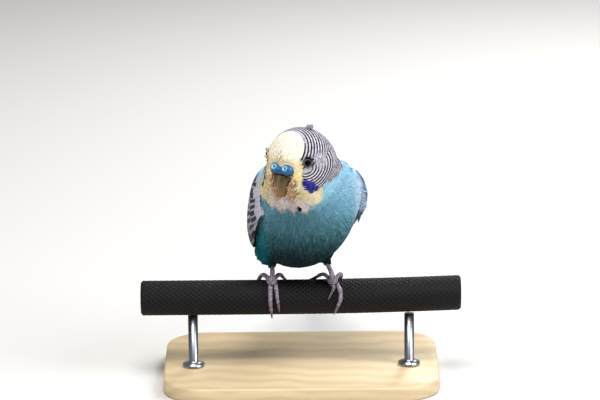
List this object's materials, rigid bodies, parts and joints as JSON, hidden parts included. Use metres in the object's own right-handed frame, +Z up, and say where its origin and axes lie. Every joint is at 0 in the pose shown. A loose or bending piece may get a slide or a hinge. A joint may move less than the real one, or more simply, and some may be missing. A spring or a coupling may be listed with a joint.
{
  "type": "budgerigar model on a perch",
  "caption": "Life-size blue budgerigar with a cream face and barred nape, leaning forward with its head turned, gripping a short braided perch on a small display stand.",
  "frame": {"origin": "middle of the underside of the stand's flat base", "axes": "+Z up, -Y the way the bird's body faces, +X along the perch to the bird's own left"},
  "size_m": [0.13, 0.1493, 0.111],
  "materials": {
    "blue_plumage": "matte sky-blue to teal feathers",
    "face_plumage": "matte cream and pale yellow feathers",
    "barred_plumage": "matte lavender-white feathers with fine black bars",
    "wing_feathers": "matte pale feathers with black markings",
    "tail_feathers": "satin dark blue feathers",
    "cere": "glossy blue skin",
    "beak": "satin olive horn",
    "eye": "wet gloss black",
    "leg_skin": "matte mauve-grey scaled skin",
    "claw": "satin dark horn",
    "rope": "tightly braided black sheath",
    "rod_steel": "brushed",
    "base_wood": "pale satin wood"
  },
  "bodies": {
    "root": {"beak_lower": "beak", "beak_upper": "beak", "cere": "cere", "claw_left_inner_back": "claw", "claw_left_inner_front": "claw", "claw_left_outer_back": "claw", "claw_left_outer_front": "claw", "claw_right_inner_back": "claw", "claw_right_inner_front": "claw", "claw_right_outer_back": "claw", "claw_right_outer_front": "claw", "eye_left": "eye", "eye_right": "eye", "head": "face_plumage", "leg_left": "leg_skin", "leg_right": "leg_skin", "neck": "barred_plumage", "perch": "rope", "stand_base": "base_wood", "stand_rod_left": "rod_steel", "stand_rod_right": "rod_steel", "tail": "tail_feathers", "thigh_left": "blue_plumage", "thigh_right": "blue_plumage", "toe_left_inner_back": "leg_skin", "toe_left_inner_front": "leg_skin", "toe_left_outer_back": "leg_skin", "toe_left_outer_front": "leg_skin", "toe_right_inner_back": "leg_skin", "toe_right_inner_front": "leg_skin", "toe_right_outer_back": "leg_skin", "toe_right_outer_front": "leg_skin", "torso": "blue_plumage", "wing_left": "wing_feathers", "wing_right": "wing_feathers"}
  },
  "joints": []
}
